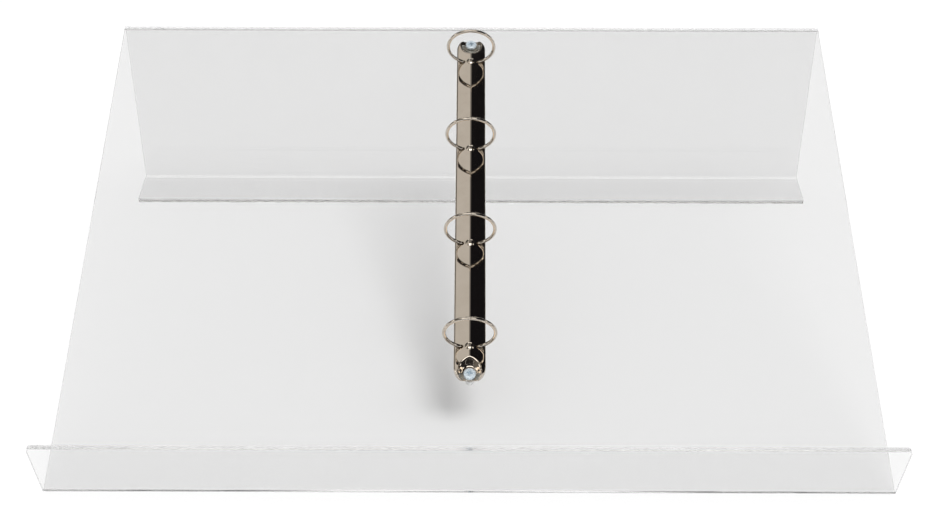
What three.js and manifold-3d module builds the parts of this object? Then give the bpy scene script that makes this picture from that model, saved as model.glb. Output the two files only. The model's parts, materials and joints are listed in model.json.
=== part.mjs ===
// Photo album stand: a lectern bent from one sheet of clear acrylic, with a four-ring binder
// mechanism screwed to its sloping panel. Millimetres, +Z up, +X across, +Y from lip to back.
// The origin is on the table, under the middle of the object.
import * as THREE from 'three';
import { mergeVertices } from 'three/addons/utils/BufferGeometryUtils.js';
import Module from 'manifold-3d';

const wasm = await Module();
wasm.setup();

const radians = THREE.MathUtils.degToRad;
const X = new THREE.Vector3(1, 0, 0);
const Y = new THREE.Vector3(0, 1, 0);
const Z = new THREE.Vector3(0, 0, 1);
const GAP = 0.3; // between pieces that rest on each other
const SAME_POINT = 1e-4; // vertices closer than this are one
const MARGIN = 2; // how far a cutter runs past the face it cuts

// Bent sheet. Lengths run along the middle of the sheet, between the corners of its folds.
const SHEET_WIDTH = 500;
const SHEET = 3;
const BEND_RADIUS = 3; // to the middle of the sheet
const BEND_STEPS = 6;
const SLOPE = radians(20.5);
const PANEL = 378.5;
const LIP = 51;
const LIP_CORNER = 3;
const LEG_LEAN = 8.5; // the heel stands this far behind the top fold
const FOOT = 36;

// Ring mechanism, in a frame on the panel's face: +Y up the slope, +Z away from the panel.
const SPINE_MIDDLE = 218; // up the panel from the lip's fold
const RING_PITCH = 80;
const RING_COUNT = 4;
const RING_HEIGHT = 20; // centre of the ring above the panel
const RING_RADIUS = 16; // to the middle of the wire
const WIRE_RADIUS = 1.1;
const WIRE_SEGMENTS = 4;
const ARC_END = radians(243.3); // where the wire leaves the circle and turns down into the cover
const ARC_STEPS = 20;
const TAIL_STEPS = 5;
const LAP = 0.8; // half length of the stepped joint between two ring tips

const COVER_LENGTH = 285;
const COVER_WIDTH = 20;
const COVER_SHEET = 0.9;
const SHOULDER = 3.6; // height of the corner between skirt and flank
const PEAK = 6; // height where the two flanks would meet without the round ridge
const SHOULDER_ROUND = 1.2;
const RIDGE_ROUND = 1.6;
const FLANGE_WIDTH = 1;
const FLANGE_HEIGHT = 0.7;
const BOSS_RADIUS = 3.2;
const BOSS_TOP = 6.8;
const SLOT_INNER = 3.9;
const SLOT_OUTER = 8.4;
const SLOT_WIDTH = 3;
const NOSE = 9.5; // length of the tapered end
const NOSE_TIP = 10.4; // width at the very end
const NOSE_BULGE = NOSE / 3; // the control point of the taper lies this far from the end
const NOSE_LOW = 2.4; // height at the very end
const NOSE_SLOPE_LENGTH = 10.5;
const WELL_OFFSET = 2.5; // the well's middle lies this far inward of the screw
const WELL_RIM = 7.8; // radius at the peak height
const WELL_FLOOR = 5.6; // radius at the floor
const WELL_MOUTH = 9.2; // width of the opening at the tip

const BLADE = 0.9;
const BLADE_WIDTH = 8.2;
const BLADE_LENGTH = 254;
const HINGE_X = 8.5;
const HINGE_Z = 2.1;
const CLOSED_TILT = radians(9); // each blade's inner edge hangs this far below its hinge
const RIVET = 3.2; // from the hinge to the wire's rivet
const RIVET_HEAD = 0.4; // the wire's end below the blade
const HOLE_PLAY = 0.3; // radial

const SCREW_Y = 138.5;
const SHANK_RADIUS = 1.95;
const HEAD_RADIUS = 4;
const HEAD_HEIGHT = 2.4;
const HEAD_CROWN = 0.4; // the top of the head rises this much inside its crown radius
const HEAD_CROWN_RADIUS = 3.4;
const HEAD_EDGE = 1;
const RECESS_WIDTH = 0.9;
const RECESS_LENGTH = 4.2;
const RECESS_DEPTH = 1.4;
const NUT_RADIUS = 2.8;
const NUT_LENGTH = 5;
const NUT_ROUND = 0.9; // slope at the nut's closed end
const NUT_FLANGE_RADIUS = 3.2;
const NUT_FLANGE = 0.8;
const SCREW_END = -7;
const ROUND_SEGMENTS = 24;

const spineMiddle = COVER_LENGTH / 2;
const floorTop = GAP + COVER_SHEET;
const alongSlope = new THREE.Vector2(Math.cos(SLOPE), Math.sin(SLOPE));
const offSlope = new THREE.Vector2(-Math.sin(SLOPE), Math.cos(SLOPE));

const finishes = {
  acrylic: { color: 0xe9eceb, roughness: 0.05, metalness: 0, transparent: true, opacity: 0.3 },
  nickel: { color: 0xb3aaa0, roughness: 0.12, metalness: 1 },
  zinc: { color: 0xc9d3da, roughness: 0.3, metalness: 1 },
};

// --- solids -----------------------------------------------------------------------------------

function toSolid(geometry) {
  const bare = geometry.clone();
  bare.deleteAttribute('normal');
  bare.deleteAttribute('uv');
  const merged = mergeVertices(bare, SAME_POINT);
  const corners = [];
  for (let i = 0; i < merged.index.count; i += 3) {
    const [a, b, c] = [0, 1, 2].map((k) => merged.index.getX(i + k));
    if (a !== b && b !== c && c !== a) corners.push(a, b, c);
  }
  const vertProperties = Float32Array.from(merged.attributes.position.array);
  const triVerts = Uint32Array.from(corners);
  return new wasm.Manifold(new wasm.Mesh({ numProp: 3, vertProperties, triVerts }));
}

function toMesh(name, solid, finish) {
  const { vertProperties, triVerts } = solid.getMesh();
  const geometry = new THREE.BufferGeometry();
  geometry.setAttribute('position', new THREE.BufferAttribute(vertProperties, 3));
  geometry.setIndex(new THREE.BufferAttribute(triVerts, 1));
  geometry.computeVertexNormals();
  const mesh = new THREE.Mesh(geometry, new THREE.MeshStandardMaterial(finishes[finish]));
  mesh.name = name;
  return mesh;
}

function extrude(outline, depth, curveSegments = BEND_STEPS) {
  return new THREE.ExtrudeGeometry(outline, { depth, curveSegments, bevelEnabled: false });
}

// An outline in (y, z), extruded along X about the middle.
function prismAlongX(outline, depth) {
  const geometry = extrude(outline, depth).translate(0, 0, -depth / 2);
  return geometry.applyMatrix4(new THREE.Matrix4().makeBasis(Y, Z, X));
}

// An outline in (x, z), extruded along Y about the middle.
function prismAlongY(outline, depth) {
  const geometry = extrude(outline, depth).translate(0, 0, -depth / 2);
  return geometry.applyMatrix4(new THREE.Matrix4().makeBasis(X, Z, Y.clone().negate()));
}

// An outline in (x, y), extruded along Z between two heights.
function prismAlongZ(outline, low, high) {
  return extrude(outline, high - low).translate(0, 0, low);
}

function box(low, high) {
  const size = high.map((value, i) => value - low[i]);
  const middle = high.map((value, i) => (value + low[i]) / 2);
  return new THREE.BoxGeometry(...size).translate(...middle);
}

function cylinder(radius, low, high, x = 0, y = 0) {
  const geometry = new THREE.CylinderGeometry(radius, radius, high - low, ROUND_SEGMENTS);
  return geometry.rotateX(Math.PI / 2).translate(x, y, (low + high) / 2);
}

// A profile of [radius, height] pairs from the axis to the axis, turned about +Z.
function turned(profile) {
  const points = profile.map(([radius, height]) => new THREE.Vector2(radius, height));
  return new THREE.LatheGeometry(points, ROUND_SEGMENTS).rotateX(Math.PI / 2);
}

function bothEnds(make) {
  return make(1).add(make(-1));
}

// --- bent acrylic sheet -----------------------------------------------------------------------

// Middle line of the sheet in (y, z): lip tip, lip fold, top fold, foot fold, foot tip.
function sheetCorners() {
  const settle = BEND_RADIUS * (1 - Math.sin(SLOPE) - Math.cos(SLOPE));
  const fold = new THREE.Vector2(0, SHEET / 2 + settle);
  const lipTip = fold.clone().addScaledVector(offSlope, LIP);
  const top = fold.clone().addScaledVector(alongSlope, PANEL);
  const heel = new THREE.Vector2(top.x + LEG_LEAN, SHEET / 2);
  const footTip = new THREE.Vector2(heel.x - FOOT, heel.y);
  return [lipTip, fold, top, heel, footTip];
}

// Points and normals along the middle line, with each fold rounded to BEND_RADIUS.
function roundedPath(corners) {
  const direction = (i) => corners[i + 1].clone().sub(corners[i]).normalize();
  const normal = (along) => new THREE.Vector2(-along.y, along.x);
  const path = [{ point: corners[0], normal: normal(direction(0)) }];
  for (let i = 1; i < corners.length - 1; i += 1) {
    const before = direction(i - 1);
    const after = direction(i);
    const turn = Math.atan2(before.cross(after), before.dot(after));
    const start = corners[i].clone().addScaledVector(before, -BEND_RADIUS * Math.tan(Math.abs(turn) / 2));
    const inward = normal(before).multiplyScalar(Math.sign(turn));
    const centre = start.clone().addScaledVector(inward, BEND_RADIUS);
    for (let step = 0; step <= BEND_STEPS; step += 1) {
      const angle = (turn * step) / BEND_STEPS;
      const point = start.clone().rotateAround(centre, angle);
      path.push({ point, normal: normal(before.clone().rotateAround(new THREE.Vector2(), angle)) });
    }
  }
  path.push({ point: corners.at(-1), normal: normal(direction(corners.length - 2)) });
  return path;
}

function sheetOutline(path) {
  const side = (sign) => path.map((p) => p.point.clone().addScaledVector(p.normal, (sign * SHEET) / 2));
  return [...side(1), ...side(-1).reverse()];
}

const corners = sheetCorners();
const outline = sheetOutline(roundedPath(corners));
const depths = outline.map((point) => point.x);
const middle = (Math.min(...depths) + Math.max(...depths)) / 2;

// The mechanism's frame, on the face of the panel.
const seat = corners[1].clone();
seat.addScaledVector(alongSlope, SPINE_MIDDLE).addScaledVector(offSlope, SHEET / 2);
const mechanism = new THREE.Group();
mechanism.position.set(0, seat.x - middle, seat.y);
mechanism.rotation.x = SLOPE;
mechanism.updateMatrix();

// Takes the square corner off the free edge of the lip and leaves it round.
function lipCornerCutter(side) {
  const reach = LIP_CORNER + MARGIN;
  const corner = new THREE.Shape();
  corner.moveTo(-LIP_CORNER, MARGIN);
  corner.lineTo(-LIP_CORNER, 0);
  corner.absarc(-LIP_CORNER, -LIP_CORNER, LIP_CORNER, Math.PI / 2, 0, true);
  corner.lineTo(0, -reach);
  corner.lineTo(MARGIN, -reach);
  corner.lineTo(MARGIN, MARGIN);
  const across = X.clone().multiplyScalar(side);
  const upLip = new THREE.Vector3(0, offSlope.x, offSlope.y);
  const through = new THREE.Vector3().crossVectors(across, upLip);
  const place = new THREE.Matrix4().makeBasis(across, upLip, through);
  place.setPosition((side * SHEET_WIDTH) / 2, corners[0].x - middle, corners[0].y);
  const geometry = extrude(corner, SHEET + 2 * MARGIN).translate(0, 0, -SHEET / 2 - MARGIN);
  return toSolid(geometry.applyMatrix4(place));
}

function acrylicStand() {
  const shape = new THREE.Shape(outline);
  const sheet = prismAlongX(shape, SHEET_WIDTH).translate(0, -middle, 0);
  const radius = SHANK_RADIUS + HOLE_PLAY;
  const hole = (end) => {
    const drill = cylinder(radius, -SHEET - MARGIN, MARGIN, 0, end * SCREW_Y);
    return toSolid(drill.applyMatrix4(mechanism.matrix));
  };
  return toSolid(sheet).subtract(bothEnds(lipCornerCutter)).subtract(bothEnds(hole));
}

// --- spine cover ------------------------------------------------------------------------------

// Cross-section in (x, z): upright skirts, two flat flanks and a round ridge.
function coverSection(inset, bottom) {
  const side = COVER_WIDTH / 2 - inset;
  const shoulder = SHOULDER - inset;
  const rise = (PEAK - SHOULDER) / (COVER_WIDTH / 2);
  const peak = shoulder + rise * side;
  const section = new THREE.Shape();
  section.moveTo(-side, bottom);
  section.lineTo(side, bottom);
  section.lineTo(side, shoulder - SHOULDER_ROUND);
  section.quadraticCurveTo(side, shoulder, side - SHOULDER_ROUND, shoulder + rise * SHOULDER_ROUND);
  section.lineTo(RIDGE_ROUND, peak - rise * RIDGE_ROUND);
  section.quadraticCurveTo(0, peak, -RIDGE_ROUND, peak - rise * RIDGE_ROUND);
  section.lineTo(SHOULDER_ROUND - side, shoulder + rise * SHOULDER_ROUND);
  section.quadraticCurveTo(-side, shoulder, -side, shoulder - SHOULDER_ROUND);
  return section;
}

// Plan in (x, y): straight sides and a rounded, tapering nose at each end.
function coverPlan(inset) {
  const side = COVER_WIDTH / 2 - inset;
  const end = spineMiddle - inset;
  const start = spineMiddle - NOSE;
  const tip = NOSE_TIP / 2 - inset;
  const bulge = end - NOSE_BULGE;
  const plan = new THREE.Shape();
  plan.moveTo(side, -start);
  plan.lineTo(side, start);
  plan.quadraticCurveTo(side, bulge, tip, end);
  plan.lineTo(-tip, end);
  plan.quadraticCurveTo(-side, bulge, -side, start);
  plan.lineTo(-side, -start);
  plan.quadraticCurveTo(-side, -bulge, -tip, -end);
  plan.lineTo(tip, -end);
  plan.quadraticCurveTo(side, -bulge, side, -start);
  return plan;
}

// What lies above the nose, which drops in a curve towards its tip.
function aboveNose(inset, end) {
  const slope = new THREE.Shape();
  const start = spineMiddle - NOSE_SLOPE_LENGTH;
  const high = PEAK + MARGIN;
  slope.moveTo(end * start, high);
  slope.lineTo(end * start, PEAK - inset);
  const bulge = end * (spineMiddle - NOSE_BULGE);
  slope.quadraticCurveTo(bulge, PEAK - inset, end * spineMiddle, NOSE_LOW - inset);
  slope.lineTo(end * (spineMiddle + MARGIN), NOSE_LOW - inset);
  slope.lineTo(end * (spineMiddle + MARGIN), high);
  return toSolid(prismAlongX(slope, COVER_WIDTH + 2 * MARGIN));
}

function coverBlank(inset, bottom) {
  const length = COVER_LENGTH + 2 * MARGIN;
  const arch = toSolid(prismAlongY(coverSection(inset, bottom), length));
  const plan = toSolid(prismAlongZ(coverPlan(inset), -MARGIN, PEAK + MARGIN));
  return arch.intersect(plan).subtract(bothEnds((end) => aboveNose(inset, end)));
}

// The conical well around a screw, open towards the tip. Grown by the sheet, it is the well's wall.
function well(end, growth, bottom) {
  const y = SCREW_Y - WELL_OFFSET;
  const rate = (WELL_RIM - WELL_FLOOR) / (PEAK - floorTop);
  const top = PEAK + MARGIN;
  const rim = WELL_RIM + growth + rate * MARGIN;
  const floor = WELL_FLOOR + growth;
  const profile = [[0, bottom], [floor, bottom], [floor, floorTop], [rim, top], [0, top]];
  const cone = toSolid(turned(profile).translate(0, end * y, 0));
  const half = WELL_MOUTH / 2 + growth;
  const [near, far] = [end * y, end * (spineMiddle + MARGIN)].sort((a, b) => a - b);
  return cone.add(toSolid(box([-half, near, bottom], [half, far, top])));
}

function ringSlot(side, y) {
  const half = SLOT_WIDTH / 2;
  const [low, high] = [side * SLOT_INNER, side * SLOT_OUTER].sort((p, q) => p - q);
  const slot = new THREE.Shape();
  slot.absarc(high - half, y, half, -Math.PI / 2, Math.PI / 2);
  slot.absarc(low + half, y, half, Math.PI / 2, 1.5 * Math.PI);
  return toSolid(prismAlongZ(slot, SHOULDER - COVER_SHEET, PEAK + MARGIN));
}

function boss(y) {
  const dome = new THREE.SphereGeometry(BOSS_RADIUS, ROUND_SEGMENTS, ROUND_SEGMENTS / 2);
  const low = PEAK - COVER_SHEET;
  const slab = box([-BOSS_RADIUS, y - BOSS_RADIUS, low], [BOSS_RADIUS, y + BOSS_RADIUS, PEAK + MARGIN]);
  return toSolid(dome.rotateX(Math.PI / 2).translate(0, y, BOSS_TOP - BOSS_RADIUS)).intersect(toSolid(slab));
}

// The rolled-in edge of a skirt, which keeps a blade from dropping out.
function flange(side) {
  const outer = side * (COVER_WIDTH / 2 - COVER_SHEET / 2);
  const inner = side * (COVER_WIDTH / 2 - COVER_SHEET - FLANGE_WIDTH);
  const [low, high] = [outer, inner].sort((a, b) => a - b);
  const half = BLADE_LENGTH / 2;
  return toSolid(box([low, -half, GAP], [high, half, GAP + FLANGE_HEIGHT]));
}

const ringPlaces = Array.from({ length: RING_COUNT }, (_, i) => RING_PITCH * ((RING_COUNT - 1) / 2 - i));

function spineCover() {
  let cover = coverBlank(0, GAP);
  const hollow = coverBlank(COVER_SHEET, -MARGIN);
  cover = cover.subtract(hollow.subtract(bothEnds((end) => well(end, COVER_SHEET, -2 * MARGIN))));
  cover = cover.subtract(bothEnds((end) => well(end, 0, floorTop)));
  for (const y of ringPlaces) {
    cover = cover.add(boss(y));
    cover = cover.subtract(bothEnds((side) => ringSlot(side, y)));
  }
  cover = cover.add(bothEnds(flange));
  const hole = (end) => toSolid(cylinder(SHANK_RADIUS + HOLE_PLAY, -MARGIN, PEAK, 0, end * SCREW_Y));
  return cover.subtract(bothEnds(hole));
}

// --- blades and half rings --------------------------------------------------------------------

// A ring-carrying plate in its hinge's frame, reaching inward from the hinge. side is -1 on the left.
function blade(side) {
  const [low, high] = [0, -side * BLADE_WIDTH].sort((a, b) => a - b);
  const half = BLADE_LENGTH / 2;
  let plate = toSolid(box([low, -half, -BLADE / 2], [high, half, BLADE / 2]));
  for (const y of ringPlaces) {
    const drill = cylinder(WIRE_RADIUS + HOLE_PLAY, -BLADE, BLADE, -side * RIVET, y);
    plate = plate.subtract(toSolid(drill));
  }
  return plate;
}

// Middle line of a half ring in (x, z): from the tip over the side, into the cover, down to the rivet.
function halfRingLine(side) {
  const centre = new THREE.Vector2(0, RING_HEIGHT);
  const onCircle = (angle) => {
    const point = new THREE.Vector2(Math.cos(angle), Math.sin(angle));
    return point.multiplyScalar(RING_RADIUS).add(centre);
  };
  const start = Math.PI / 2 - (LAP - GAP / 2) / RING_RADIUS;
  const points = [];
  for (let step = 0; step <= ARC_STEPS; step += 1) {
    points.push(onCircle(start + ((ARC_END - start) * step) / ARC_STEPS));
  }
  const bladeUp = new THREE.Vector2(Math.sin(CLOSED_TILT), Math.cos(CLOSED_TILT));
  const bladeIn = new THREE.Vector2(Math.cos(CLOSED_TILT), -Math.sin(CLOSED_TILT));
  const rivet = new THREE.Vector2(-HINGE_X, HINGE_Z).addScaledVector(bladeIn, RIVET);
  const leave = onCircle(ARC_END);
  const heading = new THREE.Vector2(-Math.sin(ARC_END), Math.cos(ARC_END));
  const rise = leave.clone().sub(rivet).cross(heading) / bladeUp.cross(heading);
  const knee = rivet.clone().addScaledVector(bladeUp, rise);
  const tail = new THREE.QuadraticBezierCurve(leave, knee, rivet.clone().addScaledVector(bladeUp, BLADE));
  points.push(...tail.getPoints(TAIL_STEPS).slice(1));
  points.push(rivet.clone().addScaledVector(bladeUp, -BLADE / 2 - RIVET_HEAD));
  return points.map((point) => new THREE.Vector3(-side * point.x, 0, point.y));
}

// Half rings close with a stepped lap: the left tip lies over the right one.
function halfRing(side, y) {
  const line = halfRingLine(side);
  const path = new THREE.CurvePath();
  for (let i = 1; i < line.length; i += 1) path.add(new THREE.LineCurve3(line[i - 1], line[i]));
  const section = new THREE.Shape();
  section.absarc(0, 0, WIRE_RADIUS, 0, 2 * Math.PI);
  const steps = line.length - 1;
  path.getPointAt = (share) => line[Math.round(share * steps)].clone();
  const settings = { extrudePath: path, steps, curveSegments: WIRE_SEGMENTS, bevelEnabled: false };
  const wire = toSolid(new THREE.ExtrudeGeometry(section, settings));
  const tip = RING_HEIGHT + RING_RADIUS;
  const reach = 2 * WIRE_RADIUS;
  const [low, high] = side < 0 ? [tip - reach, tip + GAP / 2] : [tip - GAP / 2, tip + reach];
  const [near, far] = [side * LAP, -side * reach].sort((a, b) => a - b);
  const lapped = wire.subtract(toSolid(box([near, -reach, low], [far, reach, high])));
  return lapped.translate([0, y, 0]);
}

// --- screws and nuts --------------------------------------------------------------------------

function panHeadScrew() {
  const under = floorTop + GAP;
  const top = under + HEAD_HEIGHT;
  const profile = [
    [0, SCREW_END],
    [SHANK_RADIUS, SCREW_END],
    [SHANK_RADIUS, under],
    [HEAD_RADIUS, under],
    [HEAD_RADIUS, under + HEAD_EDGE],
    [HEAD_CROWN_RADIUS, top - HEAD_CROWN],
    [HEAD_RADIUS / 2, top],
    [0, top],
  ];
  const [long, wide] = [RECESS_LENGTH / 2, RECESS_WIDTH / 2];
  const bottom = top - RECESS_DEPTH;
  const slot = toSolid(box([-long, -wide, bottom], [long, wide, top + MARGIN]));
  const cross = toSolid(box([-wide, -long, bottom], [wide, long, top + MARGIN]));
  return toSolid(turned(profile)).subtract(slot).subtract(cross);
}

// A round, closed nut under the panel, with a thin flange against the sheet.
function capNut() {
  const top = -SHEET - GAP;
  const end = top - NUT_LENGTH;
  const bore = SHANK_RADIUS + HOLE_PLAY;
  const profile = [
    [0, end],
    [NUT_RADIUS - NUT_ROUND, end],
    [NUT_RADIUS, end + NUT_ROUND],
    [NUT_RADIUS, top - NUT_FLANGE],
    [NUT_FLANGE_RADIUS, top - NUT_FLANGE],
    [NUT_FLANGE_RADIUS, top],
    [bore, top],
    [bore, SCREW_END - GAP],
    [0, SCREW_END - GAP],
  ];
  return toSolid(turned(profile));
}

// --- assembly ---------------------------------------------------------------------------------

function hinged(mesh, side) {
  mesh.position.set(side * HINGE_X, 0, HINGE_Z);
  mesh.rotation.y = -side * CLOSED_TILT;
  return mesh;
}

mechanism.add(toMesh('spine_cover', spineCover(), 'nickel'));
for (const [name, side] of [['left', -1], ['right', 1]]) {
  mechanism.add(hinged(toMesh(`${name}_blade`, blade(side), 'zinc'), side));
  ringPlaces.forEach((y, i) => {
    mechanism.add(toMesh(`${name}_half_ring_${i + 1}`, halfRing(side, y), 'nickel'));
  });
}
for (const [name, end] of [['top', 1], ['bottom', -1]]) {
  const screw = toMesh(`${name}_screw`, panHeadScrew(), 'zinc');
  const nut = toMesh(`${name}_cap_nut`, capNut(), 'zinc');
  for (const piece of [screw, nut]) {
    piece.position.y = end * SCREW_Y;
    mechanism.add(piece);
  }
}

const stand = new THREE.Group();
stand.add(toMesh('acrylic_stand', acrylicStand(), 'acrylic'));
stand.add(mechanism);

export default stand;
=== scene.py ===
# %% [markdown]
# # A photo album stand
#
# The object is a lectern bent from one sheet of clear acrylic. A four-ring binder mechanism is screwed to its
# sloping panel, and opens when the rings are pulled apart. We load the engineering model as a fixed frame,
# build a fine piece for each of its parts, give each one the finish of the real material, and light it all
# as a small product studio would.

# %% Load the frame
import json
import math

import bmesh
import bpy
from mathutils import Matrix, Vector


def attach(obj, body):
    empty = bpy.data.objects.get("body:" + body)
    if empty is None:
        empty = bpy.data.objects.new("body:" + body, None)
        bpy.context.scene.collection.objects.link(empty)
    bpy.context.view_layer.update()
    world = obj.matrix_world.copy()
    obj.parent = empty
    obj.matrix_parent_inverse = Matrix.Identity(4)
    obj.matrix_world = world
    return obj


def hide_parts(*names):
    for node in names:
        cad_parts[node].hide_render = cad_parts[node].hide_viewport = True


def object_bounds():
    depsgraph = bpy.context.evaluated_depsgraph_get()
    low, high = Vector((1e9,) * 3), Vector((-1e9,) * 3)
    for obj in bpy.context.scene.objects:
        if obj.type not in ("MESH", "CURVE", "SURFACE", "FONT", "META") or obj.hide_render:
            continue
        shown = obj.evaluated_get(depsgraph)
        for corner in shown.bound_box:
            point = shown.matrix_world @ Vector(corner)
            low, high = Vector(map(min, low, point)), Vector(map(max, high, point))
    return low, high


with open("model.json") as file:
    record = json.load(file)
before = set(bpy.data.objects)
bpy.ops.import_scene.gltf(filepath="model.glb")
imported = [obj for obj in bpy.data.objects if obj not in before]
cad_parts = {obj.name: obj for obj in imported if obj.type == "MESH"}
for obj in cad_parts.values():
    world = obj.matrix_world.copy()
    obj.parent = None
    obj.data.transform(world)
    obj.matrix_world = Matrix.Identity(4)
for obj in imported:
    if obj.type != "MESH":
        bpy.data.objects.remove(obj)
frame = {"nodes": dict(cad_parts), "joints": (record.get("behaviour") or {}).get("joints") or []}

CAD_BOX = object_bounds()
MM = 0.001
print("nodes:", len(frame["nodes"]), " box:", [tuple(round(v, 4) for v in corner) for corner in CAD_BOX])

# %% [markdown]
# ## The two frames we measure in
#
# The acrylic sheet is drawn in the world's own axes, but the binder mechanism lies on a slope. It would be
# tiresome to work out every screw at an angle, so we make one matrix that carries the mechanism's own frame
# to the world: x across, y up the slope, z straight off the panel. The slope is read from the hinge axis of
# the right-hand rings, and the origin from the two hinges, so both come from the frame and not by eye.

# %% The mechanism's frame
HINGE_X = 8.5
HINGE_Z = 2.1

hinges = {joint["name"]: joint for joint in frame["joints"]}
up_slope = Vector(hinges["right_ring_hinge"]["axis"]).normalized()
off_panel = Vector((1, 0, 0)).cross(up_slope)
slope = math.atan2(up_slope.z, up_slope.y)
hinge_places = [Vector(hinges[f"{side}_ring_hinge"]["pos_m"]) for side in ("left", "right")]
between_hinges = (hinge_places[0] + hinge_places[1]) / 2
seat = between_hinges - off_panel * HINGE_Z * MM
TO_PANEL = Matrix.Translation(seat) @ Matrix.Rotation(slope, 4, "X") @ Matrix.Scale(MM, 4)
TO_TABLE = Matrix.Scale(MM, 4)
print("slope", round(math.degrees(slope), 2), "degrees; seat", [round(v, 4) for v in seat])

# %% [markdown]
# ## The camera
#
# The camera stands in front of the lip and looks down on the stand, as someone does who is about to turn a
# page. A 63 mm lens is a gentle telephoto, which is why the sides of the panel converge only slightly.

# %% Camera
LENS = 63.319
CAMERA_PLACE = Vector((0.00279, -0.91583, 0.64982))
LOOK_DOWN, TURN, ROLL = (math.radians(angle) for angle in (33.085, 0.082, 0.119))

camera = bpy.data.objects.new("camera", bpy.data.cameras.new("camera"))
bpy.context.scene.collection.objects.link(camera)
camera.data.lens = LENS
camera.data.clip_start = 0.01
camera.matrix_world = (
    Matrix.Translation(CAMERA_PLACE)
    @ Matrix.Rotation(TURN, 4, "Z")
    @ Matrix.Rotation(math.pi / 2 - LOOK_DOWN, 4, "X")
    @ Matrix.Rotation(ROLL, 4, "Z")
)
bpy.context.scene.camera = camera
print("camera is", round((CAMERA_PLACE - seat).length, 3), "m from the mechanism")

# %% [markdown]
# ## Helpers for materials
#
# A shader is a small network. Rather than one function for each kind of node, `node` makes any node, sets its
# values and plugs in its inputs. A value that is the same all over a surface is set on the socket itself.
# Colours are written as the sRGB hex codes that a paint chart would give, and turned to the linear light
# that a renderer adds up.

# %% Material helpers
def linear(code):
    shares = [int(code[i:i + 2], 16) / 255 for i in (1, 3, 5)]
    return (*[s / 12.92 if s <= 0.04045 else ((s + 0.055) / 1.055) ** 2.4 for s in shares], 1.0)


def node(tree, kind, settings=None, **inputs):
    made = tree.nodes.new(kind)
    for name, value in (settings or {}).items():
        setattr(made, name, value)
    for name, value in inputs.items():
        key = int(name[1:]) if name[0] == "i" and name[1:].isdigit() else name.replace("_", " ")
        socket = made.inputs[key]
        if isinstance(value, bpy.types.NodeSocket):
            tree.links.new(value, socket)
        else:
            socket.default_value = value
    return made


def new_material(name):
    material = bpy.data.materials.new(name)
    material.use_nodes = True
    material.node_tree.nodes.clear()
    return material, material.node_tree


def per_metre(size_mm):
    return 1 / (size_mm * MM)


# %% [markdown]
# ## Cast acrylic
#
# The sheet is cast acrylic, a clear plastic that is a little less dense to light than window glass: its index
# of refraction is 1.49. Its faces are as cast, so they are glossy and very slightly wavy. Light loses about
# eight percent at the two faces of a sheet, and that is what makes a clear panel look pale grey on a white
# table. A path tracer finds light through a refracting sheet only by chance, so for shadow and diffuse rays
# the sheet is a plain tinted window instead. The eye sees much the same, without the noise.
#
# The foot lies flat on the white table. What its faces hold back goes down again and returns from the table.
# That light is painted in: the foot has a lighter copy of the acrylic, with a clear tint and a clear window,
# or it would look like tinted glass. The tint of the rest is a touch darker than cast acrylic really is. It
# was tuned to the look of the whole.

# %% Cast acrylic
ACRYLIC_IOR = 1.49
WAVE_LENGTH_MM = 60
WAVE_HEIGHT_MM = 0.001
HAZE_MM = 15
PLANING_MARK_MM = 0.6


def window_for_lamps(tree, surface, tint):
    rays = node(tree, "ShaderNodeLightPath")
    either = node(tree, "ShaderNodeMath", {"operation": "MAXIMUM"},
                  i0=rays.outputs["Is Shadow Ray"], i1=rays.outputs["Is Diffuse Ray"])
    window = node(tree, "ShaderNodeBsdfTransparent", Color=linear(tint))
    mixed = node(tree, "ShaderNodeMixShader", i0=either.outputs[0], i1=surface, i2=window.outputs[0])
    node(tree, "ShaderNodeOutputMaterial", Surface=mixed.outputs[0])


def cast_acrylic(name, tint, passing):
    material, tree = new_material(name)
    place = node(tree, "ShaderNodeTexCoord").outputs["Object"]
    waves = node(tree, "ShaderNodeTexNoise", Vector=place, Scale=per_metre(WAVE_LENGTH_MM), Detail=1.0)
    bump = node(tree, "ShaderNodeBump", Height=waves.outputs["Fac"], Distance=WAVE_HEIGHT_MM * MM,
                Strength=1.0)
    haze = node(tree, "ShaderNodeTexNoise", Vector=place, Scale=per_metre(HAZE_MM), Detail=4.0)
    rough = node(tree, "ShaderNodeMapRange", Value=haze.outputs["Fac"], To_Min=0.0, To_Max=0.004)
    sheet = node(tree, "ShaderNodeBsdfPrincipled", Base_Color=linear(tint), IOR=ACRYLIC_IOR,
                 Transmission_Weight=1.0, Roughness=rough.outputs[0], Normal=bump.outputs[0])
    window_for_lamps(tree, sheet.outputs[0], passing)
    return material


# %% [markdown]
# ## Diamond-polished edges
#
# After cutting, the edges are planed with a diamond tool. That leaves them clear but with a fine satin, so an
# edge gathers light from the whole sheet and shows as a thin grey line. The planing marks lie a few tenths of
# a millimetre apart. A fine even noise stands for them here, with no direction of its own.

# %% Diamond-polished edge
def polished_edge():
    material, tree = new_material("diamond_polished_acrylic_edge")
    place = node(tree, "ShaderNodeTexCoord").outputs["Object"]
    marks = node(tree, "ShaderNodeTexNoise", Vector=place, Scale=per_metre(PLANING_MARK_MM), Detail=2.0)
    rough = node(tree, "ShaderNodeMapRange", Value=marks.outputs["Fac"], To_Min=0.12, To_Max=0.22)
    edge = node(tree, "ShaderNodeBsdfPrincipled", Base_Color=linear("#FDFDFD"), IOR=ACRYLIC_IOR,
                Transmission_Weight=1.0, Roughness=rough.outputs[0])
    window_for_lamps(tree, edge.outputs[0], "#FCFCFC")
    return material


# %% [markdown]
# ## Bright nickel plate
#
# The cover and the rings are mild steel with bright nickel plate. Nickel is a warm grey mirror. The plate
# follows the pressed or drawn steel under it, so its gloss is broken by the faintest orange peel on the
# cover, and by a finer grain on the wire. A metal keeps the shader's own index of refraction.

# %% Bright nickel plate
CLOUD_MM = 9


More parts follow.
